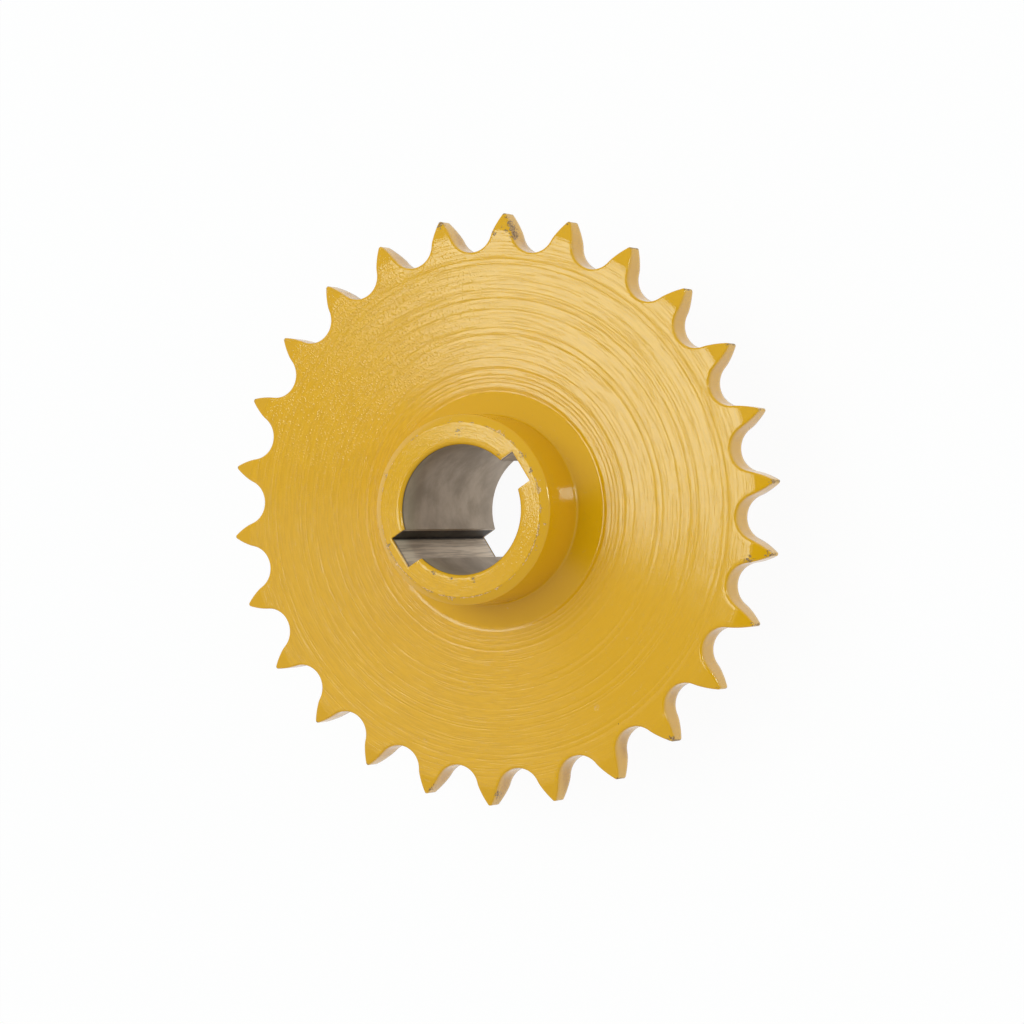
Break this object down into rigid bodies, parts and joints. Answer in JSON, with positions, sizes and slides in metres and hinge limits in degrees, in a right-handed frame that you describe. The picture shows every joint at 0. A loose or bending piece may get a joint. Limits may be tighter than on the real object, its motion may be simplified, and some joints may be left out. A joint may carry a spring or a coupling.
{
  "type": "chain sprocket",
  "caption": "Painted steel roller-chain sprocket with a hub on both sides, a bare keyed bore and bevelled teeth, for a chain drive on a keyed shaft.",
  "frame": {"origin": "on the bore's axis, at the end face of the longer back hub", "axes": "+Z along the bore's axis towards the front hub, +X through a keyway and the tooth in line with it"},
  "size_m": [0.1386, 0.1376, 0.0516],
  "materials": {
    "paint": "semi-gloss ochre paint over turned steel, chipped on the tooth tips and bare in the bore"
  },
  "bodies": {
    "root": {"sprocket": "paint"}
  },
  "joints": []
}
